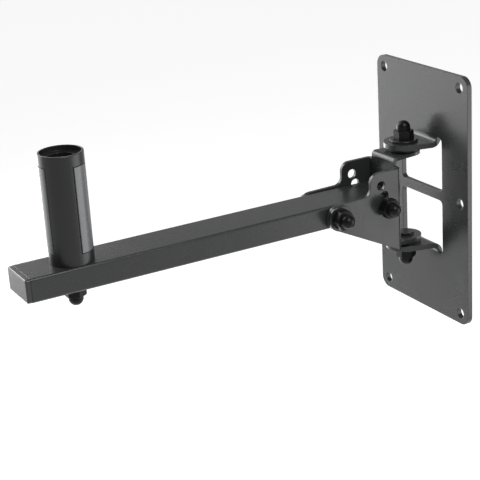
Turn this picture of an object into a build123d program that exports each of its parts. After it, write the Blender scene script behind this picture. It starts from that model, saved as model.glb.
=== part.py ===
from build123d import *
from math import cos, degrees, radians
import os

# Speaker wall bracket: a wall plate with two folded ears, a yoke that swivels between the ears,
# and a rectangular arm that tilts in the yoke and carries a spigot for the speaker.
# Millimetres. The back of the plate is the plane Y = 0, the arm points to -Y and +Z is up.
# The origin is the middle of the plate's back face.

# Wall plate
plate_width = 126.0
plate_height = 215.0
plate_sheet = 4.5
plate_corner = 9.0
screw_hole = 9.0
screw_inset_x = 10.5
screw_inset_z = 9.5
window_width = 57.0
window_corner = 4.0
middle_web = 8.0

# Ears, and the swivel axis that stands in them
swivel_reach = 22.5
swivel_middle = -0.55
ear_opening = 84.7
ear_end_radius = 17.0
ear_root_width = 44.0
ear_bend_radius = 4.5

# Yoke
yoke_sheet = 3.0
yoke_bend_radius = 1.0
web_reach = 19.0
flange_root_width = 31.5
flange_end_radius = 13.5
flange_relief = 1.0
cheek_top = 31.5
cheek_bottom = -39.7
cheek_waist = 13.6
lobe_length = 27.8
lobe_radius = 8.0
lobe_throat_radius = 6.5
cheek_end_radius = 10.8

# Arm tube and its place in the yoke
tube_width = 38.4
tube_height = 19.1
tube_wall = 2.0
tube_corner = 1.8
tube_inner_corner = 0.8
tube_level = 2.2
tube_tail = 56.5
arm_length = 349.4
plug_face = 4.0
plug_step = 0.2
plug_corner = 1.2
plug_depth = 14.0
plug_wall = 1.8

# Tilt pivot, and the index seats that stand on an arc about it
pivot_reach = 81.0
pivot_drop = 0.5
index_radius = 45.4
index_step = 12.0
index_count = 3
index_seat = 8.0
sleeve_wall = 2.0

# Spigot
spigot_inset = 44.7
spigot_height = 85.2
spigot_radius = 17.25
spigot_edge = 0.5
spigot_bore = 20.0
spigot_floor = 8.0
mouth_depth = 4.0
mouth_wall = 1.5
strip_count = 3
strip_angle = 42.0
strip_first_angle = -90.0
strip_margin = 9.4
strip_depth = 1.6
strip_proud = 0.25
strip_side_gap = 0.8
strip_end_gap = 0.4
strip_seat_gap = 0.05

# Fasteners: the index bolt is the small size, all the others are the large one
large_thread = 8.0
large_across = 13.0
large_nut = 6.5
large_head = 5.3
low_head = 2.2
small_thread = 6.0
small_across = 10.0
small_nut = 5.0
small_head = 4.0
thread_past_nut = 2.5
thread_bevel = 0.6
washer_width = 24.0
washer_sheet = 2.0
pivot_washer_width = 21.6
pivot_washer_sheet = 3.0
spacer_width = 18.0
small_washer_width = 12.5
small_washer_sheet = 2.5
head_washer_width = 17.0
head_washer_sheet = 1.6
friction_washer_width = 26.0
friction_washer_sheet = 3.2
cap_across = 15.0
cap_skirt = 7.3
cap_height = 15.5
cap_dome_radius = 5.8
cap_edge = 0.6

# Clearances
running_gap = 0.08
open_gap = 0.3
face_gap = 0.9
bolt_gap = 0.2
cap_gap = 0.1
plug_gap = 0.1
cut_over = 1.0

# Places that follow from the sizes above
screw_span_x = plate_width - 2 * screw_inset_x
screw_span_z = plate_height - 2 * screw_inset_z
ear_outer_radius = ear_bend_radius + plate_sheet
ear_face = swivel_middle + ear_opening / 2
window_top = ear_face + ear_outer_radius
window_bottom = 2 * swivel_middle - window_top
yoke_height = ear_opening - 2 * friction_washer_sheet
yoke_outer_radius = yoke_bend_radius + yoke_sheet
flange_level = swivel_middle + yoke_height / 2
low_flange_level = swivel_middle - yoke_height / 2
web_back = -swivel_reach - web_reach
web_front = web_back - yoke_sheet
cheek_inner = tube_width / 2 + face_gap
cheek_outer = cheek_inner + yoke_sheet
pivot_y = -swivel_reach - pivot_reach
pivot_level = tube_level - pivot_drop
lobe_front = web_front - lobe_length
at_lobe_front = (lobe_front - cut_over, lobe_front + cut_over)
index_arc = index_step * (index_count - 1)
index_y = pivot_y + index_radius
index_neck = small_thread + 2 * open_gap
tube_top = tube_level + tube_height / 2
tube_bottom = tube_level - tube_height / 2
tube_rear = pivot_y + tube_tail
arm_end = -swivel_reach - arm_length
tube_length = tube_rear - arm_end - plug_face
spigot_y = arm_end + spigot_inset
strip_height = spigot_height - 2 * strip_margin
strip_inner_radius = spigot_radius + strip_proud - strip_depth
strip_floor_radius = strip_inner_radius - strip_seat_gap
mouth_radius = spigot_radius - mouth_wall
pivot_sleeve_radius = large_thread / 2 + running_gap + sleeve_wall
index_sleeve_radius = small_thread / 2 + bolt_gap + sleeve_wall


def washer(seat, width, bore, sheet):
    """A round flat washer that lies on a seat plane."""
    with BuildPart() as ring:
        with BuildSketch(seat):
            Circle(width / 2)
            Circle(bore / 2, mode=Mode.SUBTRACT)
        extrude(amount=sheet)
        fillet(ring.edges().filter_by(GeomType.CIRCLE).group_by(SortBy.RADIUS)[-1], sheet / 4)
    return ring.part


def hex_nut(seat, thread, across, height):
    """A hexagon nut that stands on a seat plane, its corners bevelled at both ends."""
    corner = across / 2 / cos(radians(30))
    with BuildPart() as nut:
        with BuildSketch(seat):
            Circle(corner)
        extrude(amount=height)
        chamfer(nut.edges().filter_by(GeomType.CIRCLE), (corner - across / 2) * 0.8)
        with BuildSketch(seat):
            RegularPolygon(across / 2, 6, major_radius=False)
        extrude(amount=height, mode=Mode.INTERSECT)
        with BuildSketch(seat):
            Circle(thread / 2 + cap_gap)
        extrude(amount=height, mode=Mode.SUBTRACT)
    return nut.part


def hex_bolt(seat, thread, across, head, length):
    """A hexagon bolt: its head is behind the seat plane, its shank runs along the plane's normal."""
    corner = across / 2 / cos(radians(30))
    with BuildPart() as bolt:
        with BuildSketch(seat):
            Circle(corner)
        extrude(amount=-head)
        chamfer(bolt.edges().filter_by(GeomType.CIRCLE), (corner - across / 2) * 0.8)
        with BuildSketch(seat):
            RegularPolygon(across / 2, 6, major_radius=False)
        extrude(amount=-head, mode=Mode.INTERSECT)
        with BuildSketch(seat):
            Circle(thread / 2)
        extrude(amount=length)
        shank_end = bolt.faces().sort_by(Axis(seat.origin, seat.z_dir))[-1]
        chamfer(shank_end.edges(), thread_bevel)
    return bolt.part


def nut_cap(seat, thread, across, nut_height):
    """A moulded nut cap: a hexagon skirt and a dome, open below for the nut and the bolt's end."""
    corner = cap_across / 2 / cos(radians(30))
    with BuildPart() as cap:
        with BuildSketch(seat):
            Circle(corner)
        extrude(amount=cap_skirt)
        skirt_top = cap.faces().sort_by(Axis(seat.origin, seat.z_dir))[-1]
        chamfer(skirt_top.edges(), cap_edge)
        with BuildSketch(seat):
            RegularPolygon(cap_across / 2, 6, major_radius=False)
        extrude(amount=cap_skirt, mode=Mode.INTERSECT)
        with BuildSketch(seat):
            Circle(cap_dome_radius)
        extrude(amount=cap_height - cap_dome_radius)
        with Locations(seat.offset(cap_height - cap_dome_radius)):
            Sphere(cap_dome_radius)
        with BuildSketch(seat):
            RegularPolygon(across / 2 + cap_gap, 6, major_radius=False)
        extrude(amount=nut_height + cap_gap, mode=Mode.SUBTRACT)
        with BuildSketch(seat):
            Circle(thread / 2 + bolt_gap)
        extrude(amount=nut_height + thread_past_nut + bolt_gap, mode=Mode.SUBTRACT)
    return cap.part


def ring_sector(inner, outer, spread):
    """A piece of a ring about the origin, spread degrees wide, with its middle on the +X axis."""
    with BuildSketch() as sector:
        with BuildLine():
            outer_edge = CenterArc((0, 0), outer, -spread / 2, spread)
            inner_edge = CenterArc((0, 0), inner, -spread / 2, spread)
            Line(outer_edge @ 0, inner_edge @ 0)
            Line(outer_edge @ 1, inner_edge @ 1)
        make_face()
    return sector.sketch


def finish(name, part):
    """Labels a finished piece and writes it as parts/name.step."""
    part.label = name
    export_step(part, f"parts/{name}.step")


os.makedirs("parts", exist_ok=True)

# Ears, the upper one drawn from the side and mirrored: each leaves its window's edge in a quarter
# turn, and seen from above it narrows from its root to a round end about the swivel axis.
with BuildPart() as ears:
    with BuildSketch(Plane.YZ):
        with BuildLine():
            bend_centre = (-ear_outer_radius, window_top)
            under_bend = CenterArc(bend_centre, ear_outer_radius, -90, 90)
            over_bend = CenterArc(bend_centre, ear_bend_radius, -90, 90)
            ear_tip = -swivel_reach - ear_end_radius - cut_over
            Line(under_bend @ 1, over_bend @ 1)
            Polyline(under_bend @ 0, (ear_tip, ear_face), (ear_tip, ear_face + plate_sheet), over_bend @ 0)
        make_face()
    extrude(amount=ear_root_width / 2, both=True)
    with BuildSketch(Plane.XY.offset(ear_face)):
        with Locations((0, -swivel_reach)):
            Circle(ear_end_radius)
        with Locations((0, -plate_sheet / 2)):
            Rectangle(ear_root_width, plate_sheet)
        make_hull()
    extrude(amount=ear_outer_radius, mode=Mode.INTERSECT)
    with BuildSketch(Plane.XY.offset(ear_face)):
        with Locations((0, -swivel_reach)):
            Circle(large_thread / 2 + bolt_gap)
    extrude(amount=plate_sheet, mode=Mode.SUBTRACT)
    mirror(about=Plane.XY.offset(swivel_middle))

# Wall plate: the flat sheet with its screw holes and its two windows, joined to its ears
with BuildPart() as wall_plate:
    with BuildSketch(Plane.XZ):
        RectangleRounded(plate_width, plate_height, plate_corner)
        with GridLocations(screw_span_x, screw_span_z / 2, 2, 3):
            Circle(screw_hole / 2, mode=Mode.SUBTRACT)
        for window_far, window_near in ((window_top, middle_web / 2), (window_bottom, -middle_web / 2)):
            with Locations((0, (window_far + window_near) / 2)):
                window_height = abs(window_far - window_near)
                RectangleRounded(window_width, window_height, window_corner, mode=Mode.SUBTRACT)
    extrude(amount=plate_sheet)
    add(ears.part)
finish("wall_plate", wall_plate.part)

# Flanges of the yoke with the middle of its web: one sheet, folded twice towards the wall
with BuildPart() as flanges:
    with BuildSketch(Plane.YZ):
        with BuildLine():
            flange_tip = -swivel_reach + flange_end_radius + cut_over
            FilletPolyline(
                (flange_tip, flange_level),
                (web_front, flange_level),
                (web_front, low_flange_level),
                (flange_tip, low_flange_level),
                radius=yoke_outer_radius,
            )
            offset(amount=yoke_sheet, side=Side.LEFT)
        make_face()
    extrude(amount=flange_root_width / 2, both=True)
    with BuildSketch(Plane.XY.offset(low_flange_level)):
        with Locations((0, -swivel_reach)):
            Circle(flange_end_radius)
        with Locations((0, web_front)):
            Rectangle(flange_root_width, yoke_outer_radius, align=(Align.CENTER, Align.MIN))
        make_hull()
        with Locations((0, -swivel_reach)):
            Circle(large_thread / 2 + running_gap, mode=Mode.SUBTRACT)
    extrude(amount=yoke_height, mode=Mode.INTERSECT)

# Yoke: the cheeks are folded the other way, away from the wall. From the side each cheek has a
# raised lobe at the back, a round end about the pivot and a slanting lower edge. The web between
# them is relieved where the lower flange is bent.
with BuildPart() as yoke:
    with BuildSketch(Plane.XY.offset(cheek_bottom)):
        with BuildLine():
            cheek_tip = pivot_y - cheek_end_radius - cut_over
            FilletPolyline(
                (-cheek_outer, cheek_tip),
                (-cheek_outer, web_back),
                (cheek_outer, web_back),
                (cheek_outer, cheek_tip),
                radius=yoke_outer_radius,
            )
            offset(amount=yoke_sheet, side=Side.RIGHT)
        make_face()
    extrude(amount=cheek_top - cheek_bottom)
    with BuildSketch(Plane.YZ) as cheek_side:
        with Locations((pivot_y, pivot_level)):
            Circle(cheek_end_radius)
        with Locations((web_back, cheek_bottom)):
            Rectangle(yoke_sheet, cheek_waist - cheek_bottom, align=(Align.MAX, Align.MIN))
        make_hull()
        with Locations((lobe_front, cheek_top)):
            lobe_span = web_back - lobe_front
            Rectangle(lobe_span, cheek_top - tube_level, align=(Align.MIN, Align.MAX))
        lobe_corners = cheek_side.vertices().filter_by_position(Axis.X, *at_lobe_front)
        fillet(lobe_corners.sort_by(Axis.Y)[-1], lobe_radius)
        lobe_corners = cheek_side.vertices().filter_by_position(Axis.X, *at_lobe_front)
        fillet(lobe_corners.sort_by(Axis.Y)[0], lobe_throat_radius)
    extrude(amount=cheek_outer + cut_over, both=True, mode=Mode.INTERSECT)
    with BuildSketch(Plane.XZ.offset(-web_back)):
        with Locations((0, cheek_bottom)):
            relief_width = flange_root_width + 2 * flange_relief
            relief_height = low_flange_level + yoke_outer_radius - cheek_bottom
            Rectangle(relief_width, relief_height, align=(Align.CENTER, Align.MIN))
    extrude(amount=yoke_sheet, mode=Mode.SUBTRACT)
    add(flanges.part)
    with BuildSketch(Plane.YZ):
        with Locations((pivot_y, pivot_level)):
            Circle(large_thread / 2 + bolt_gap)
            with PolarLocations(index_radius, index_count, angular_range=index_step * index_count):
                Circle(index_seat / 2)
            with PolarLocations(0, 1, start_angle=index_arc / 2):
                add(ring_sector(index_radius - index_neck / 2, index_radius + index_neck / 2, index_arc))
    extrude(amount=cheek_outer + cut_over, both=True, mode=Mode.SUBTRACT)
finish("yoke", yoke.part)

# Swivel bolts with what they clamp: the heads are inside the yoke, the capped nuts outside the ears
for side, up in (("upper", 1), ("lower", -1)):
    swivel = Plane((0, -swivel_reach, swivel_middle), x_dir=(1, 0, 0), z_dir=(0, 0, up))
    bolt_seat = swivel.offset(yoke_height / 2 - yoke_sheet - running_gap)
    ear_seat = swivel.offset(ear_opening / 2 + plate_sheet)
    nut_seat = ear_seat.offset(washer_sheet)
    swivel_length = abs(nut_seat.origin.Z - bolt_seat.origin.Z) + large_nut + thread_past_nut
    flange_seat = swivel.offset(yoke_height / 2)
    bore = large_thread + 2 * bolt_gap
    swivel_bolt = hex_bolt(bolt_seat, large_thread, large_across, low_head, swivel_length)
    friction_washer = washer(flange_seat, friction_washer_width, bore, friction_washer_sheet)
    finish(f"{side}_swivel_bolt", swivel_bolt)
    finish(f"{side}_friction_washer", friction_washer)
    finish(f"{side}_swivel_washer", washer(ear_seat, washer_width, bore, washer_sheet))
    finish(f"{side}_swivel_nut", hex_nut(nut_seat, large_thread, large_across, large_nut))
    finish(f"{side}_swivel_cap", nut_cap(nut_seat, large_thread, large_across, large_nut))

# Tilt pivot: a bolt across both cheeks of the yoke, with its capped nut on the +X side and a spacer
# disc between the arm and each cheek
cheek_seat = Plane((cheek_outer, pivot_y, pivot_level), x_dir=(0, 1, 0), z_dir=(1, 0, 0))
far_cheek_seat = Plane((-cheek_outer, pivot_y, pivot_level), x_dir=(0, 1, 0), z_dir=(-1, 0, 0))
pivot_nut_seat = cheek_seat.offset(pivot_washer_sheet)
pivot_bolt_seat = cheek_seat.offset(-2 * cheek_outer - head_washer_sheet)
pivot_length = pivot_nut_seat.origin.X - pivot_bolt_seat.origin.X + large_nut + thread_past_nut
pivot_washer = washer(cheek_seat, pivot_washer_width, large_thread + 2 * bolt_gap, pivot_washer_sheet)
pivot_head_washer = washer(
    far_cheek_seat, head_washer_width, large_thread + 2 * bolt_gap, head_washer_sheet
)
finish("pivot_bolt", hex_bolt(pivot_bolt_seat, large_thread, large_across, large_head, pivot_length))
finish("pivot_washer", pivot_washer)
finish("pivot_head_washer", pivot_head_washer)
finish("pivot_nut", hex_nut(pivot_nut_seat, large_thread, large_across, large_nut))
finish("pivot_cap", nut_cap(pivot_nut_seat, large_thread, large_across, large_nut))
for number, tube_side in enumerate((cheek_seat, far_cheek_seat), 1):
    spacer_seat = tube_side.offset(tube_width / 2 - cheek_outer)
    spacer = washer(spacer_seat, spacer_width, large_thread + 2 * bolt_gap, face_gap)
    finish(f"pivot_spacer_{number}", spacer)

# Arm tube, bored across for the pivot and index bolts and from top to bottom for the spigot's bolt
with BuildPart() as arm_tube:
    with BuildSketch(Plane.XZ.offset(-tube_rear)):
        with Locations((0, tube_level)):
            RectangleRounded(tube_width, tube_height, tube_corner)
            RectangleRounded(
                tube_width - 2 * tube_wall,
                tube_height - 2 * tube_wall,
                tube_inner_corner,
                mode=Mode.SUBTRACT,
            )
    extrude(amount=tube_length)
    with BuildSketch(Plane.YZ):
        with Locations((pivot_y, pivot_level)):
            Circle(large_thread / 2 + open_gap)
        with Locations((index_y, pivot_level)):
            Circle(small_thread / 2 + bolt_gap)
    extrude(amount=tube_width / 2, both=True, mode=Mode.SUBTRACT)
    with BuildSketch(Plane.XY.offset(tube_bottom)):
        with Locations((0, spigot_y)):
            Circle(large_thread / 2 + bolt_gap)
    extrude(amount=tube_height, mode=Mode.SUBTRACT)
finish("arm_tube", arm_tube.part)

# Plug in the arm's outer end: a face as wide as the tube and a hollow skirt inside it
plug_width = tube_width - 2 * tube_wall - 2 * plug_gap
plug_height = tube_height - 2 * tube_wall - 2 * plug_gap
with BuildPart() as end_plug:
    with BuildSketch(Plane.XZ.offset(-arm_end)):
        with Locations((0, tube_level)):
            RectangleRounded(tube_width - 2 * plug_step, tube_height - 2 * plug_step, tube_corner)
    extrude(amount=-plug_face)
    fillet(end_plug.faces().sort_by(Axis.Y)[0].edges(), plug_corner)
    with BuildSketch(Plane.XZ.offset(-arm_end - plug_face)):
        with Locations((0, tube_level)):
            RectangleRounded(plug_width, plug_height, tube_inner_corner)
            Rectangle(plug_width - 2 * plug_wall, plug_height - 2 * plug_wall, mode=Mode.SUBTRACT)
    extrude(amount=-plug_depth)
finish("end_plug", end_plug.part)

# Spacer sleeves across the inside of the tube keep it from being crushed by its two bolts
sleeve_length = tube_width - 2 * tube_wall
for name, sleeve_y, outer_radius in (
    ("pivot_sleeve", pivot_y, pivot_sleeve_radius),
    ("index_sleeve", index_y, index_sleeve_radius),
):
    with BuildPart() as sleeve:
        with BuildSketch(Plane.YZ):
            with Locations((sleeve_y, pivot_level)):
                Circle(outer_radius)
                Circle(outer_radius - sleeve_wall, mode=Mode.SUBTRACT)
        extrude(amount=sleeve_length / 2, both=True)
    finish(name, sleeve.part)

# Index bolt: it moves with the arm and stands in one of the seats of each cheek
index_reach = cheek_outer + running_gap
index_plane = Plane((index_reach, index_y, pivot_level), x_dir=(0, 1, 0), z_dir=(1, 0, 0))
far_index_plane = Plane((-index_reach, index_y, pivot_level), x_dir=(0, 1, 0), z_dir=(-1, 0, 0))
index_nut_seat = index_plane.offset(small_washer_sheet)
index_bolt_seat = index_plane.offset(-2 * index_reach - small_washer_sheet)
index_length = index_nut_seat.origin.X - index_bolt_seat.origin.X + small_nut + thread_past_nut
index_bore = small_thread + 2 * bolt_gap
index_head_washer = washer(far_index_plane, small_washer_width, index_bore, small_washer_sheet)
finish("index_bolt", hex_bolt(index_bolt_seat, small_thread, small_across, small_head, index_length))
finish("index_washer", washer(index_plane, small_washer_width, index_bore, small_washer_sheet))
finish("index_head_washer", index_head_washer)
finish("index_nut", hex_nut(index_nut_seat, small_thread, small_across, small_nut))
finish("index_cap", nut_cap(index_nut_seat, small_thread, small_across, small_nut))

# Spigot: a round moulding on the tube, with a sunk mouth, a bore for the bolt's head and a
# recess in its wall for each strip
spigot_base = Plane.XY.offset(tube_top)
with BuildPart() as spigot_body:
    with BuildSketch(spigot_base):
        with Locations((0, spigot_y)):
            Circle(spigot_radius)
    extrude(amount=spigot_height)
    fillet(spigot_body.faces().sort_by(Axis.Z)[-1].edges(), spigot_edge)
    with BuildSketch(spigot_base.offset(spigot_height)):
        with Locations((0, spigot_y)):
            Circle(mouth_radius)
    extrude(amount=-mouth_depth, mode=Mode.SUBTRACT)
    with BuildSketch(spigot_base.offset(spigot_floor)):
        with Locations((0, spigot_y)):
            Circle(spigot_bore / 2)
    extrude(amount=spigot_height - spigot_floor, mode=Mode.SUBTRACT)
    with BuildSketch(spigot_base):
        with Locations((0, spigot_y)):
            Circle(large_thread / 2 + bolt_gap)
    extrude(amount=spigot_floor, mode=Mode.SUBTRACT)
    recess_spread = strip_angle + degrees(2 * strip_side_gap / spigot_radius)
    with BuildSketch(spigot_base.offset(strip_margin - strip_end_gap)):
        with Locations((0, spigot_y)):
            with PolarLocations(0, strip_count, start_angle=strip_first_angle):
                add(ring_sector(strip_floor_radius, spigot_radius + cut_over, recess_spread))
    extrude(amount=strip_height + 2 * strip_end_gap, mode=Mode.SUBTRACT)
finish("spigot_body", spigot_body.part)

# Strips: three raised bands in the spigot's wall, one of them facing the arm's outer end
with BuildPart() as spigot_strips:
    with BuildSketch(spigot_base.offset(strip_margin)):
        with Locations((0, spigot_y)):
            with PolarLocations(0, strip_count, start_angle=strip_first_angle):
                add(ring_sector(strip_inner_radius, spigot_radius + strip_proud, strip_angle))
    extrude(amount=strip_height)
for number, strip in enumerate(spigot_strips.solids().sort_by(Axis.X), 1):
    finish(f"spigot_strip_{number}", Part(strip.wrapped))

# Spigot bolt: its head stands on the floor of the bore, its capped nut is under the tube
floor_seat = Plane((0, spigot_y, tube_top + spigot_floor), x_dir=(1, 0, 0), z_dir=(0, 0, 1))
under_seat = Plane((0, spigot_y, tube_bottom), x_dir=(1, 0, 0), z_dir=(0, 0, -1))
spigot_nut_seat = under_seat.offset(washer_sheet)
spigot_bolt_seat = Plane(
    (0, spigot_y, floor_seat.origin.Z + head_washer_sheet), x_dir=(1, 0, 0), z_dir=(0, 0, -1)
)
spigot_length = spigot_bolt_seat.origin.Z - spigot_nut_seat.origin.Z + large_nut + thread_past_nut
spigot_bolt = hex_bolt(spigot_bolt_seat, large_thread, large_across, large_head, spigot_length)
bolt_bore = large_thread + 2 * bolt_gap
finish("spigot_bolt", spigot_bolt)
finish("spigot_head_washer", washer(floor_seat, head_washer_width, bolt_bore, head_washer_sheet))
finish("spigot_washer", washer(under_seat, washer_width, bolt_bore, washer_sheet))
finish("spigot_nut", hex_nut(spigot_nut_seat, large_thread, large_across, large_nut))
finish("spigot_cap", nut_cap(spigot_nut_seat, large_thread, large_across, large_nut))
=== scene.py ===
"""Dresses the speaker wall bracket for its studio photograph.

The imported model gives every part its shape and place.
"""

import logging
import math
from dataclasses import dataclass, field
from enum import Enum

import bmesh
import bpy
from mathutils import Matrix, Vector


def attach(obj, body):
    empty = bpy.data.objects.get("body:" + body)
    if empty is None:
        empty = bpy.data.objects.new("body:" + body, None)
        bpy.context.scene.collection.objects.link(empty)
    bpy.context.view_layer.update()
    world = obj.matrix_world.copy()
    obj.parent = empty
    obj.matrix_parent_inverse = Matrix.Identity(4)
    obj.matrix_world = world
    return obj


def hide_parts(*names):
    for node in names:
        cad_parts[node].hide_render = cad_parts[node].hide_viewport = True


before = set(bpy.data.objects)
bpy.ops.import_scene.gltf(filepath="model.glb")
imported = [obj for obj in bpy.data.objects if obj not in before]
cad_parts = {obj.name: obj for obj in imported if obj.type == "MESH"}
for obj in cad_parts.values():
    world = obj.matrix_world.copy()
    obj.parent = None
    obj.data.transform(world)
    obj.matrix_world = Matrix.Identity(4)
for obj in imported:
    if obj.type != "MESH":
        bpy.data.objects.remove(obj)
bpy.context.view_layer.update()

MM = 0.001
WELD_DISTANCE = 1e-7
SHARP_TURN = math.radians(30.0)

Colour = tuple[float, float, float]
Place = tuple[float, float, float]
Pair = tuple[float, float]
Outline = list[Pair]

log = logging.getLogger("speaker_bracket")


class Slot(Enum):
    """The finishes. All are slots of the record but the arm's own look of its powder coat."""

    POWDER_COAT = "powder_coat"
    ARM_COAT = "powder_coat_arm"
    BLACK_STEEL = "black_steel"
    NUT_CAP = "nut_cap"
    NYLON = "nylon"
    PLAIN_STEEL = "plain_steel"
    END_PLUG = "end_plug"
    SPIGOT = "spigot_moulding"
    STRIP = "spigot_strip"


# Shader building blocks


class Graph:
    """A thin helper that adds nodes to one node tree and links them."""

    def __init__(self, tree: bpy.types.NodeTree) -> None:
        """Keeps the tree and empties it.

        Args:
            tree: The node tree of a material, a world or a node group.
        """
        self.tree = tree
        tree.nodes.clear()

    def node(self, kind: str, **settings: object) -> bpy.types.Node:
        """Adds a node and sets its properties.

        Args:
            kind: The node's type name, such as "ShaderNodeTexNoise".
            **settings: Properties of the node by name.

        Returns:
            The new node.
        """
        made = self.tree.nodes.new(kind)
        for name, value in settings.items():
            setattr(made, name, value)
        return made

    def link(self, source: bpy.types.NodeSocket, target: bpy.types.NodeSocket) -> None:
        """Links an output socket to an input socket."""
        self.tree.links.new(source, target)

    def math(self, operation: str, first: object, second: object = 0.0) -> bpy.types.NodeSocket:
        """Adds a math node.

        Args:
            operation: The node's operation, such as "MULTIPLY".
            first: A socket or a number.
            second: A socket or a number.

        Returns:
            The node's output.
        """
        made = self.node("ShaderNodeMath", operation=operation)
        for socket, value in zip(made.inputs, (first, second)):
            if isinstance(value, bpy.types.NodeSocket):
                self.link(value, socket)
            else:
                socket.default_value = value
        return made.outputs[0]

    def spread(
        self,
        value: bpy.types.NodeSocket,
        low: float,
        high: float,
        start: float,
        end: float,
    ) -> bpy.types.NodeSocket:
        """Maps a value from one range onto another.

        Args:
            value: The socket to map.
            low: The result at the start of the range.
            high: The result at the end of the range.
            start: The value that gives low.
            end: The value that gives high.

        Returns:
            The mapped value.
        """
        made = self.node("ShaderNodeMapRange", interpolation_type="SMOOTHSTEP")
        self.link(value, made.inputs["Value"])
        numbers = {"From Min": start, "From Max": end, "To Min": low, "To Max": high}
        for name, number in numbers.items():
            made.inputs[name].default_value = number
        return made.outputs["Result"]


def new_group(
    name: str, inputs: dict[str, float], outputs: dict[str, str]
) -> tuple[bpy.types.NodeTree, Graph, bpy.types.Node, bpy.types.Node]:
    """Starts a shader node group.

    Args:
        name: The group's name.
        inputs: Names of its number inputs and their defaults.
        outputs: Names of its outputs and their socket types.

    Returns:
        The group, its graph, its input node and its output node.
    """
    group = bpy.data.node_groups.new(name, "ShaderNodeTree")
    graph = Graph(group)
    for label, value in inputs.items():
        socket = group.interface.new_socket(label, in_out="INPUT", socket_type="NodeSocketFloat")
        socket.default_value = value
    for label, kind in outputs.items():
        group.interface.new_socket(label, in_out="OUTPUT", socket_type=kind)
    return group, graph, graph.node("NodeGroupInput"), graph.node("NodeGroupOutput")


class SurfaceEffects:
    """The shader node groups that the finishes share, each made once.

    Pairs are the values of a noise, or of the turn at an edge, at which an effect starts and is
    full. Scales are cells in a metre.
    """

    FINE_CELLS = 3.1
    EDGE_TURN = (0.02, 0.25)
    # Patches that spare the edge colour: they break up rubbed wear on lighter edges and painted
    # shade lines on darker ones.
    EDGE_BREAK_SCALE = 220.0
    EDGE_BREAK_PATCHES = (0.38, 0.62)
    SPECKS_IN_A_PATCH = 22.0
    SMEAR_PATCHES = (0.3, 0.7)
    DUST_SPECKS = (0.62, 0.8)

    def __init__(self) -> None:
        """Builds all the groups."""
        self.skin = self._skin()
        self.edges = self._edges()
        self.handling = self._handling()

    def _skin(self) -> bpy.types.NodeTree:
        """A skin of small rounded cells, such as orange peel or moulded grain.

        Returns:
            A group with the inputs Cells per metre and Fine share, and the output Height.
        """
        group, graph, inlet, outlet = new_group(
            "surface skin",
            {"Cells per metre": 900.0, "Fine share": 0.3},
            {"Height": "NodeSocketFloat"},
        )
        place = graph.node("ShaderNodeTexCoord")
        coarse = graph.node("ShaderNodeTexNoise", noise_dimensions="3D")
        fine = graph.node("ShaderNodeTexNoise", noise_dimensions="3D")
        for noise, detail in ((coarse, 1.0), (fine, 2.0)):
            graph.link(place.outputs["Object"], noise.inputs["Vector"])
            noise.inputs["Detail"].default_value = detail
        graph.link(inlet.outputs["Cells per metre"], coarse.inputs["Scale"])
        fine_scale = graph.math("MULTIPLY", inlet.outputs["Cells per metre"], self.FINE_CELLS)
        graph.link(fine_scale, fine.inputs["Scale"])
        fine_part = graph.math("MULTIPLY", fine.outputs["Fac"], inlet.outputs["Fine share"])
        graph.link(graph.math("ADD", coarse.outputs["Fac"], fine_part), outlet.inputs["Height"])
        return group

    def _edges(self) -> bpy.types.NodeTree:
        """Finds the rounded-over edges of a part, broken up in patches. A lighter edge colour
        makes them rubbed wear, a darker one paints shade along them.

        Returns:
            A group with the inputs Width and Break up, and the outputs Normal and Mask.
        """
        group, graph, inlet, outlet = new_group(
            "rubbed and shaded edges",
            {"Width": 0.0005, "Break up": 0.5},
            {"Normal": "NodeSocketVector", "Mask": "NodeSocketFloat"},
        )
        bevel = graph.node("ShaderNodeBevel", samples=6)
        graph.link(inlet.outputs["Width"], bevel.inputs["Radius"])
        face = graph.node("ShaderNodeNewGeometry")
        turn = graph.node("ShaderNodeVectorMath", operation="DOT_PRODUCT")
        graph.link(bevel.outputs["Normal"], turn.inputs[0])
        graph.link(face.outputs["Normal"], turn.inputs[1])
        turned = graph.math("SUBTRACT", 1.0, turn.outputs["Value"])
        bend = graph.spread(turned, 0.0, 1.0, *self.EDGE_TURN)
        place = graph.node("ShaderNodeTexCoord")
        patches = graph.node("ShaderNodeTexNoise")
        patches.inputs["Scale"].default_value = self.EDGE_BREAK_SCALE
        patches.inputs["Detail"].default_value = 3.0
        graph.link(place.outputs["Object"], patches.inputs["Vector"])
        spared = graph.spread(patches.outputs["Fac"], 0.0, 1.0, *self.EDGE_BREAK_PATCHES)
        broken = graph.math("MULTIPLY", spared, inlet.outputs["Break up"])
        kept = graph.math("SUBTRACT", 1.0, broken)
        graph.link(graph.math("MULTIPLY", bend, kept), outlet.inputs["Mask"])
        graph.link(bevel.outputs["Normal"], outlet.inputs["Normal"])
        return group

    def _handling(self) -> bpy.types.NodeTree:
        """Slow changes of gloss from handling and a thin veil of dust.

        Returns:
            A group with the input Patches per metre, and the outputs Smear and Dust.
        """
        group, graph, inlet, outlet = new_group(
            "handling marks",
            {"Patches per metre": 28.0},
            {"Smear": "NodeSocketFloat", "Dust": "NodeSocketFloat"},
        )
        place = graph.node("ShaderNodeTexCoord")
        smear = graph.node("ShaderNodeTexNoise")
        smear.inputs["Detail"].default_value = 5.0
        smear.inputs["Distortion"].default_value = 0.6
        specks = graph.node("ShaderNodeTexNoise")
        specks.inputs["Detail"].default_value = 8.0
        graph.link(inlet.outputs["Patches per metre"], smear.inputs["Scale"])
        speck_scale = graph.math(
            "MULTIPLY", inlet.outputs["Patches per metre"], self.SPECKS_IN_A_PATCH
        )
        graph.link(speck_scale, specks.inputs["Scale"])
        for noise in (smear, specks):
            graph.link(place.outputs["Object"], noise.inputs["Vector"])
        smeared = graph.spread(smear.outputs["Fac"], -1.0, 1.0, *self.SMEAR_PATCHES)
        graph.link(smeared, outlet.inputs["Smear"])
        dusted = graph.spread(specks.outputs["Fac"], 0.0, 1.0, *self.DUST_SPECKS)
        graph.link(dusted, outlet.inputs["Dust"])
        return group


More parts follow.
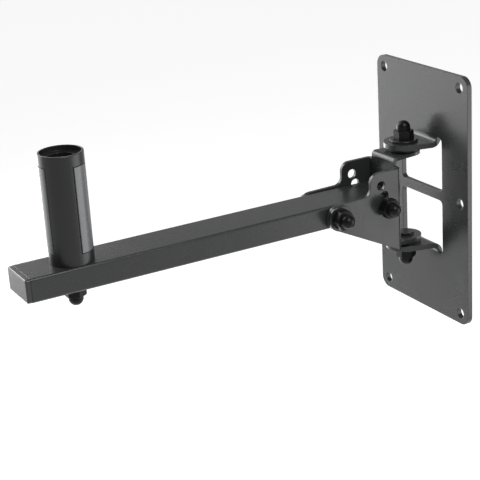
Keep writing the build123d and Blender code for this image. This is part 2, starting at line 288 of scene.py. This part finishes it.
@dataclass(frozen=True)
class Finish:
    """One finish of the bracket: a colour, a gloss and a skin.

    Colours are linear. Lengths are metres, cells are in a metre. Smear and dust_roughness are the
    roughness that handling and dust add. Dust changes the colour to dust_gain times itself plus
    dust_lift.
    """

    slot: Slot
    colour: Colour
    # The colour on rounded edges: lighter gives rubbed wear, darker paints shade along the edge.
    edge_colour: Colour
    roughness: float
    smear: float
    cells: float
    relief: float
    relief_share: float = 0.3
    edge_width: float = 0.0005
    break_up: float = 0.5
    metallic: float = 0.0
    specular: float = 0.5
    dust_gain: float = 1.2
    dust_lift: float = 0.001
    dust_roughness: float = 0.04

    def material(self, effects: SurfaceEffects) -> bpy.types.Material:
        """Builds the finish as a material.

        Args:
            effects: The shared node groups.

        Returns:
            The new material, named after its slot.
        """
        made = bpy.data.materials.new(self.slot.value)
        made.use_nodes = True
        graph = Graph(made.node_tree)
        shader = graph.node("ShaderNodeBsdfPrincipled")
        shader.inputs["Metallic"].default_value = self.metallic
        shader.inputs["Specular IOR Level"].default_value = self.specular
        self._colour(graph, effects, shader)
        self._relief(graph, effects, shader)
        output = graph.node("ShaderNodeOutputMaterial")
        graph.link(shader.outputs["BSDF"], output.inputs["Surface"])
        return made

    def _colour(self, graph: Graph, effects: SurfaceEffects, shader: bpy.types.Node) -> None:
        """Colours the shader: the body colour, a trace of dust and the edge colour, which is
        rubbed wear where it is lighter and painted shade where it is darker.

        Args:
            graph: The material's graph.
            effects: The shared node groups.
            shader: The material's main shader.
        """
        edges = graph.node("ShaderNodeGroup", node_tree=effects.edges, label="edges")
        edges.inputs["Width"].default_value = self.edge_width
        edges.inputs["Break up"].default_value = self.break_up
        marks = graph.node("ShaderNodeGroup", node_tree=effects.handling)
        dusty = graph.node("ShaderNodeMix", data_type="RGBA", blend_type="MIX")
        dusty.inputs["A"].default_value = (*self.colour, 1.0)
        dust_colour = (value * self.dust_gain + self.dust_lift for value in self.colour)
        dusty.inputs["B"].default_value = (*dust_colour, 1.0)
        graph.link(marks.outputs["Dust"], dusty.inputs["Factor"])
        # Mixes in the edge colour: rubbed wear on lighter edges, painted shade on darker ones.
        edge_wear_and_shade = graph.node("ShaderNodeMix", data_type="RGBA", blend_type="MIX")
        edge_wear_and_shade.inputs["B"].default_value = (*self.edge_colour, 1.0)
        graph.link(dusty.outputs["Result"], edge_wear_and_shade.inputs["A"])
        graph.link(edges.outputs["Mask"], edge_wear_and_shade.inputs["Factor"])
        graph.link(edge_wear_and_shade.outputs["Result"], shader.inputs["Base Color"])
        gloss = graph.math("MULTIPLY", marks.outputs["Smear"], self.smear)
        dust = graph.math("MULTIPLY", marks.outputs["Dust"], self.dust_roughness)
        rough = graph.math("ADD", graph.math("ADD", gloss, self.roughness), dust)
        graph.link(rough, shader.inputs["Roughness"])

    def _relief(self, graph: Graph, effects: SurfaceEffects, shader: bpy.types.Node) -> None:
        """Gives the shader its skin, on top of softly rounded edges.

        Args:
            graph: The material's graph.
            effects: The shared node groups.
            shader: The material's main shader.
        """
        skin = graph.node("ShaderNodeGroup", node_tree=effects.skin)
        skin.inputs["Cells per metre"].default_value = self.cells
        skin.inputs["Fine share"].default_value = self.relief_share
        edges = next(node for node in graph.tree.nodes if node.label == "edges")
        bump = graph.node("ShaderNodeBump")
        bump.inputs["Strength"].default_value = 1.0
        bump.inputs["Distance"].default_value = self.relief
        graph.link(skin.outputs["Height"], bump.inputs["Height"])
        graph.link(edges.outputs["Normal"], bump.inputs["Normal"])
        graph.link(bump.outputs["Normal"], shader.inputs["Normal"])


FINISHES = (
    Finish(
        slot=Slot.POWDER_COAT,
        colour=(0.024, 0.0246, 0.0257),
        edge_colour=(0.03, 0.0305, 0.0315),
        roughness=0.27,
        smear=0.02,
        cells=750.0,
        relief=0.000004,
        edge_width=0.0006,
    ),
    Finish(
        slot=Slot.ARM_COAT,
        colour=(0.022, 0.0226, 0.0236),
        # The dark edge colour paints shade along the tube's rounded corners; the body colour is a
        # touch darker than the plate's coat.
        edge_colour=(0.008, 0.0082, 0.0085),
        roughness=0.27,
        smear=0.02,
        cells=600.0,
        relief=0.000002,
        edge_width=0.0009,
        break_up=0.1,
    ),
    Finish(
        slot=Slot.BLACK_STEEL,
        colour=(0.012, 0.012, 0.013),
        edge_colour=(0.09, 0.088, 0.085),
        roughness=0.24,
        smear=0.04,
        cells=2600.0,
        relief=0.000004,
        edge_width=0.0003,
    ),
    Finish(
        slot=Slot.NUT_CAP,
        colour=(0.005, 0.005, 0.0054),
        edge_colour=(0.01, 0.01, 0.0105),
        roughness=0.33,
        smear=0.03,
        cells=1400.0,
        relief=0.000004,
        edge_width=0.0006,
        specular=0.17,
    ),
    Finish(
        slot=Slot.NYLON,
        colour=(0.012, 0.012, 0.013),
        edge_colour=(0.03, 0.03, 0.03),
        roughness=0.42,
        smear=0.04,
        cells=3200.0,
        relief=0.000005,
        edge_width=0.0004,
    ),
    Finish(
        slot=Slot.PLAIN_STEEL,
        colour=(0.5, 0.49, 0.47),
        edge_colour=(0.7, 0.69, 0.67),
        roughness=0.32,
        smear=0.06,
        cells=2400.0,
        relief=0.000006,
        edge_width=0.0003,
        metallic=1.0,
    ),
    Finish(
        slot=Slot.END_PLUG,
        colour=(0.012, 0.0122, 0.0127),
        # The dark edge colour paints shade around the plug's rim.
        edge_colour=(0.005, 0.005, 0.0052),
        roughness=0.3,
        smear=0.03,
        cells=2000.0,
        relief=0.00001,
        specular=0.75,
    ),
    Finish(
        slot=Slot.SPIGOT,
        colour=(0.0085, 0.0087, 0.009),
        edge_colour=(0.02, 0.02, 0.021),
        roughness=0.34,
        smear=0.03,
        cells=1500.0,
        relief=0.000006,
        edge_width=0.0004,
    ),
    Finish(
        slot=Slot.STRIP,
        colour=(0.105, 0.108, 0.111),
        # The dark, unbroken edge colour paints the shadow in the gap around each strip.
        edge_colour=(0.012, 0.012, 0.0125),
        roughness=0.28,
        smear=0.03,
        cells=1200.0,
        relief=0.000004,
        edge_width=0.0008,
        break_up=0.0,
    ),
)


class FinishBook:
    """The finishes as materials."""

    def __init__(self) -> None:
        """Builds the shared effects and every material."""
        effects = SurfaceEffects()
        self.materials = {finish.slot: finish.material(effects) for finish in FINISHES}

    def dress(self, slot: Slot, *nodes: str) -> None:
        """Gives parts of the model a finish.

        Args:
            slot: The finish.
            *nodes: Names of the model's parts.
        """
        for name in nodes:
            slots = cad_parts[name].data.materials
            slots.clear()
            slots.append(self.materials[slot])
            log.info("%s: %s", name, slot.value)


# Mesh helpers


def prisms(name: str, shapes: list[tuple[Outline, Pair]]) -> bpy.types.Object:
    """Makes closed prisms along the X axis, all in one object.

    Args:
        name: The object's name.
        shapes: For each prism its outline in Y and Z and its two ends in X, in millimetres.

    Returns:
        The new object.
    """
    corners, faces = [], []
    for outline, ends in shapes:
        base, count = len(corners), len(outline)
        for end in ends:
            corners += [(end * MM, y * MM, z * MM) for y, z in outline]
        faces.append([base + n for n in reversed(range(count))])
        faces.append([base + count + n for n in range(count)])
        for n in range(count):
            after = (n + 1) % count
            faces.append([base + n, base + after, base + count + after, base + count + n])
    mesh = bpy.data.meshes.new(name)
    mesh.from_pydata(corners, [], faces)
    made = bpy.data.objects.new(name, mesh)
    bpy.context.scene.collection.objects.link(made)
    return made


def welded_copy(node: str, name: str) -> bpy.types.Object:
    """Copies a part of the model as one closed mesh.

    Args:
        node: The part's name.
        name: The copy's name.

    Returns:
        The copy.
    """
    welded = bmesh.new()
    welded.from_mesh(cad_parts[node].data)
    bmesh.ops.remove_doubles(welded, verts=welded.verts, dist=WELD_DISTANCE)
    mesh = bpy.data.meshes.new(name)
    welded.to_mesh(mesh)
    welded.free()
    made = bpy.data.objects.new(name, mesh)
    bpy.context.scene.collection.objects.link(made)
    return made


def combine(piece: bpy.types.Object, steps: tuple[tuple[str, bpy.types.Object], ...]) -> None:
    """Joins solids to a piece or cuts them out of it, and removes them.

    Args:
        piece: The piece to change.
        steps: For each step the operation, such as "UNION", and the other solid.
    """
    for operation, other in steps:
        step = piece.modifiers.new(operation.lower(), "BOOLEAN")
        step.operation, step.object, step.solver = operation, other, "EXACT"
    view = bpy.context.evaluated_depsgraph_get()
    old, piece.data = piece.data, bpy.data.meshes.new_from_object(piece.evaluated_get(view))
    piece.modifiers.clear()
    piece.data.name = piece.name
    piece.data.polygons.foreach_set("use_smooth", [True] * len(piece.data.polygons))
    piece.data.set_sharp_from_angle(angle=SHARP_TURN)
    bpy.data.meshes.remove(old)
    for _, other in steps:
        bpy.data.meshes.remove(other.data)


# Sub-assemblies


@dataclass
class NutSet:
    """The bolt, washers, nut and cap that hold one joint together."""

    name: str
    washers: tuple[str, ...]

    def build(self, book: FinishBook) -> None:
        """Dresses the fastener's parts.

        Args:
            book: The finishes.
        """
        book.dress(Slot.BLACK_STEEL, f"{self.name}_bolt", f"{self.name}_nut", *self.washers)
        book.dress(Slot.NUT_CAP, f"{self.name}_cap")


@dataclass
class WallPlate:
    """The folded plate on the wall, with the two swivel bolts in its ears."""

    hinges: tuple[NutSet, ...] = field(
        default_factory=lambda: tuple(
            NutSet(f"{side}_swivel", (f"{side}_swivel_washer",)) for side in ("upper", "lower")
        )
    )

    def build(self, book: FinishBook) -> None:
        """Dresses the plate, the hinges and their friction washers.

        Args:
            book: The finishes.
        """
        book.dress(Slot.POWDER_COAT, "wall_plate")
        book.dress(Slot.NYLON, "upper_friction_washer", "lower_friction_washer")
        for hinge in self.hinges:
            hinge.build(book)


@dataclass
class IndexHoles:
    """The round index holes in each cheek of the yoke.

    The model joins them by narrow necks, so that the arm can turn from one to the next. The real
    cheeks have separate holes, so this closes the necks and drills the holes again. Lengths are
    millimetres. Angles are degrees, from the +Y axis towards +Z.
    """

    pivot: Pair = (-103.5, 1.7)
    radius: float = 45.4
    step: float = 12.0
    count: int = 3
    width: float = 8.0
    margin: float = 0.7
    cheek_inner: float = 20.1
    cheek_outer: float = 23.1
    overrun: float = 2.0
    side_parts: int = 8
    end_parts: int = 12
    hole_corners: int = 48

    @staticmethod
    def _arc(middle: Pair, radius: float, angles: list[float]) -> Outline:
        """Finds points on an arc.

        Args:
            middle: The arc's middle in Y and Z.
            radius: The arc's radius.
            angles: The angle of each point.

        Returns:
            The points in Y and Z.
        """
        turns = [math.radians(angle) for angle in angles]
        return [
            (middle[0] + radius * math.cos(turn), middle[1] + radius * math.sin(turn))
            for turn in turns
        ]

    def _middle(self, angle: float) -> Pair:
        """Finds the middle of the hole at an angle."""
        return self._arc(self.pivot, self.radius, [angle])[0]

    def _band(self) -> Outline:
        """Draws the outline that encloses all the holes and their necks.

        Returns:
            The outline's corners in Y and Z.
        """
        reach, last = self.width / 2 + self.margin, self.step * (self.count - 1)
        along = [last * part / self.side_parts for part in range(self.side_parts + 1)]
        round_end = [180.0 * part / self.end_parts for part in range(1, self.end_parts)]
        outer = self._arc(self.pivot, self.radius + reach, along)
        top = self._arc(self._middle(last), reach, [last + turn for turn in round_end])
        inner = self._arc(self.pivot, self.radius - reach, along[::-1])
        bottom = self._arc(self._middle(0.0), reach, [180.0 + turn for turn in round_end])
        return outer + top + inner + bottom

    def _circle(self, number: int) -> Outline:
        """Draws one hole.

        Args:
            number: The hole's place in the row.

        Returns:
            The outline's corners in Y and Z.
        """
        angles = [360.0 * part / self.hole_corners for part in range(self.hole_corners)]
        return self._arc(self._middle(self.step * number), self.width / 2, angles)

    def drill(self, piece: bpy.types.Object) -> None:
        """Closes the necks of a copy of the yoke and drills the holes again.

        Args:
            piece: The copy, a closed mesh.
        """
        cheeks = (
            (self.cheek_inner, self.cheek_outer),
            (-self.cheek_outer, -self.cheek_inner),
        )
        filler = prisms("index filler", [(self._band(), cheek) for cheek in cheeks])
        reach = self.cheek_outer + self.overrun
        circles = [self._circle(number) for number in range(self.count)]
        drills = prisms("index drills", [(circle, (-reach, reach)) for circle in circles])
        combine(piece, (("UNION", filler), ("DIFFERENCE", drills)))


@dataclass
class Yoke:
    """The folded yoke with the tilt pivot and the index holes in its cheeks."""

    pivot: NutSet = field(
        default_factory=lambda: NutSet("pivot", ("pivot_washer", "pivot_head_washer"))
    )
    holes: IndexHoles = field(default_factory=IndexHoles)

    def build(self, book: FinishBook) -> None:
        """Makes the yoke with separate index holes and dresses it, its pivot and the spacers.

        Args:
            book: The finishes.
        """
        piece = welded_copy("yoke", "folded_yoke")
        self.holes.drill(piece)
        piece.data.materials.append(book.materials[Slot.POWDER_COAT])
        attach(piece, "swivel_yoke")
        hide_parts("yoke")
        book.dress(Slot.POWDER_COAT, "yoke")
        book.dress(Slot.NYLON, "pivot_spacer_1", "pivot_spacer_2")
        self.pivot.build(book)


@dataclass
class Arm:
    """The rectangular arm with its end plug, sleeves and index bolt."""

    index: NutSet = field(
        default_factory=lambda: NutSet("index", ("index_washer", "index_head_washer"))
    )

    def build(self, book: FinishBook) -> None:
        """Dresses the arm.

        Args:
            book: The finishes.
        """
        book.dress(Slot.ARM_COAT, "arm_tube")
        book.dress(Slot.END_PLUG, "end_plug")
        book.dress(Slot.PLAIN_STEEL, "pivot_sleeve", "index_sleeve")
        self.index.build(book)


@dataclass
class Spigot:
    """The round spigot that stands on the arm, with its strips and its bolt."""

    strips: int = 3
    bolt: NutSet = field(
        default_factory=lambda: NutSet("spigot", ("spigot_washer", "spigot_head_washer"))
    )

    def build(self, book: FinishBook) -> None:
        """Dresses the spigot.

        Args:
            book: The finishes.
        """
        book.dress(Slot.SPIGOT, "spigot_body")
        for number in range(1, self.strips + 1):
            book.dress(Slot.STRIP, f"spigot_strip_{number}")
        self.bolt.build(book)


# Studio


@dataclass(frozen=True)
class Softbox:
    """A rectangular lamp that stands upright or hangs tilted and faces the bracket.

    Lengths are metres. The glow is the brightness of its face, where 1 is white.
    """

    name: str
    place: Place
    aim: Place
    width: float
    height: float
    glow: float

    def build(self) -> None:
        """Adds the lamp to the scene."""
        lamp = bpy.data.lights.new(self.name, "AREA")
        lamp.shape = "RECTANGLE"
        lamp.size, lamp.size_y = self.width, self.height
        lamp.energy = self.glow * math.pi * self.width * self.height
        holder = bpy.data.objects.new(self.name, lamp)
        holder.location = self.place
        aim = Vector(self.aim) - holder.location
        holder.rotation_euler = aim.to_track_quat("-Z", "Y").to_euler()
        holder.visible_camera = False
        bpy.context.scene.collection.objects.link(holder)


SOFTBOXES = (
    Softbox("left panel", (-1.46, -0.62, -0.03), (0.0, -0.15, -0.03), 2.2, 0.98, 1.8),
    Softbox("left rear panel", (-1.43, -0.16, -0.45), (0.0, -0.16, -0.45), 0.5, 0.9, 5.0),
    Softbox("right panel", (0.92, 1.15, -0.08), (0.0, -0.1, -0.08), 1.3, 1.34, 2.4),
    Softbox("right softbox", (1.25, -0.15, 1.5), (0.0, -0.1, 0.0), 0.9, 0.9, 9.0),
    Softbox("key softbox", (-1.75, -0.9, 1.2), (0.0, -0.1, 0.0), 0.8, 1.9, 6.5),
)


@dataclass
class Studio:
    """The pale floor, the softboxes and the white surroundings.

    Lengths are metres. Brightnesses are shares of white. The cove fades into the ceiling between
    the two heights of cove_fade, and into the dim room between the two values of room_fade, which
    are 1 straight towards room_side.
    """

    floor_level: float = -0.95
    floor_reach: float = 14.0
    floor_seen: float = 0.5
    floor_mirrored: float = 0.15
    floor_colour: Colour = (0.86, 0.86, 0.86)
    floor_roughness: float = 0.8
    ambient: float = 0.5
    ceiling: float = 0.3
    room: float = 0.35
    cove_fade: Pair = (-0.08, 0.42)
    room_side: Place = (0.82, -0.57, 0.0)
    room_fade: Pair = (0.2, 0.8)
    softboxes: tuple[Softbox, ...] = SOFTBOXES

    def build(self) -> None:
        """Builds the floor, the world and the lamps."""
        self._floor()
        self._world()
        for softbox in self.softboxes:
            softbox.build()

    @staticmethod
    def _mirrored(graph: Graph, rays: bpy.types.Node) -> bpy.types.NodeSocket:
        """Tells the rays that metal and glass send out from all others.

        Args:
            graph: The graph to add to.
            rays: Its Light Path node.

        Returns:
            A socket that is 1 for those rays and 0 for others.
        """
        glossy, passed = rays.outputs["Is Glossy Ray"], rays.outputs["Is Transmission Ray"]
        return graph.math("MAXIMUM", glossy, passed)

    def _floor(self) -> None:
        """A wide pale floor that keeps the object's shadow."""
        reach, level = self.floor_reach, self.floor_level
        mesh = bpy.data.meshes.new("floor")
        signs = ((-1, -1), (1, -1), (1, 1), (-1, 1))
        corners = [(x * reach, y * reach, level) for x, y in signs]
        mesh.from_pydata(corners, [], [(0, 1, 2, 3)])
        floor = bpy.data.objects.new("floor", mesh)
        bpy.context.scene.collection.objects.link(floor)
        pale = bpy.data.materials.new("pale floor")
        pale.use_nodes = True
        graph = Graph(pale.node_tree)
        shader = graph.node("ShaderNodeBsdfPrincipled")
        shader.inputs["Base Color"].default_value = (*self.floor_colour, 1.0)
        shader.inputs["Roughness"].default_value = self.floor_roughness
        shader.inputs["Specular IOR Level"].default_value = 0.0
        glow = graph.node("ShaderNodeEmission")
        both = graph.node("ShaderNodeAddShader")
        rays = graph.node("ShaderNodeLightPath")
        mirrored = self._mirrored(graph, rays)
        seen = graph.math("MULTIPLY", rays.outputs["Is Camera Ray"], self.floor_seen)
        reflected = graph.math("MULTIPLY", mirrored, self.floor_mirrored)
        strength = graph.math("ADD", seen, reflected)
        graph.link(strength, glow.inputs["Strength"])
        graph.link(shader.outputs["BSDF"], both.inputs[0])
        graph.link(glow.outputs["Emission"], both.inputs[1])
        output = graph.node("ShaderNodeOutputMaterial")
        graph.link(both.outputs["Shader"], output.inputs["Surface"])
        floor.data.materials.append(pale)

    def _world(self) -> None:
        """White surroundings: full white where they are seen, softer as a light.

        Mirrored, they are a white cove behind the bracket with a dim ceiling and a dim room on the
        camera's side.
        """
        world = bpy.data.worlds.new("studio")
        world.use_nodes = True
        graph = Graph(world.node_tree)
        rays = graph.node("ShaderNodeLightPath")
        place = graph.node("ShaderNodeTexCoord")
        parts = graph.node("ShaderNodeSeparateXYZ")
        graph.link(place.outputs["Generated"], parts.inputs["Vector"])
        toward = graph.node("ShaderNodeVectorMath", operation="DOT_PRODUCT")
        graph.link(place.outputs["Generated"], toward.inputs[0])
        toward.inputs[1].default_value = self.room_side
        cove = graph.spread(parts.outputs["Z"], 1.0, self.ceiling, *self.cove_fade)
        dim = graph.spread(toward.outputs["Value"], 1.0, self.room, *self.room_fade)
        mirror = graph.math("MULTIPLY", cove, dim)
        mirrored = self._mirrored(graph, rays)
        strength = graph.node("ShaderNodeMix", data_type="FLOAT")
        strength.inputs["A"].default_value = self.ambient
        graph.link(mirrored, strength.inputs["Factor"])
        graph.link(mirror, strength.inputs["B"])
        seen = graph.math("MAXIMUM", strength.outputs["Result"], rays.outputs["Is Camera Ray"])
        background = graph.node("ShaderNodeBackground")
        background.inputs["Color"].default_value = (1.0, 1.0, 1.0, 1.0)
        graph.link(seen, background.inputs["Strength"])
        output = graph.node("ShaderNodeOutputWorld")
        graph.link(background.outputs["Background"], output.inputs["Surface"])
        bpy.context.scene.world = world


@dataclass
class PhotoCamera:
    """The camera of the photograph.

    Angles are degrees, lengths metres, the lens and the sensor millimetres.
    """

    place: Place = (0.920866, -0.670356, 0.374563)
    azimuth: float = 62.139
    elevation: float = 20.050
    roll: float = -3.677
    lens: float = 103.79
    sensor: float = 36.0
    nearest: float = 0.05
    farthest: float = 60.0

    def build(self) -> None:
        """Makes the camera and sets it as the scene's camera."""
        azimuth, elevation = math.radians(self.azimuth), math.radians(self.elevation)
        forward = Vector(
            (
                -math.sin(azimuth) * math.cos(elevation),
                math.cos(azimuth) * math.cos(elevation),
                -math.sin(elevation),
            )
        )
        right = Vector((math.cos(azimuth), math.sin(azimuth), 0.0))
        turn = Matrix.Rotation(-math.radians(self.roll), 3, forward)
        right = turn @ right
        up = right.cross(forward)
        data = bpy.data.cameras.new("photo camera")
        data.lens = self.lens
        data.sensor_width = self.sensor
        data.clip_start, data.clip_end = self.nearest, self.farthest
        camera = bpy.data.objects.new("photo camera", data)
        facing = Matrix((right, up, -forward)).transposed().to_4x4()
        camera.matrix_world = Matrix.Translation(self.place) @ facing
        bpy.context.scene.collection.objects.link(camera)
        bpy.context.scene.camera = camera


def main() -> None:
    """Dresses the bracket from the wall outwards, then sets up the studio."""
    logging.basicConfig(level=logging.INFO, format="%(name)s: %(message)s")
    book = FinishBook()
    for assembly in (WallPlate(), Yoke(), Arm(), Spigot()):
        assembly.build(book)
        log.info("%s is dressed", type(assembly).__name__)
    Studio().build()
    PhotoCamera().build()
    bpy.context.scene.view_settings.view_transform = "Standard"


if __name__ == "__main__":
    main()
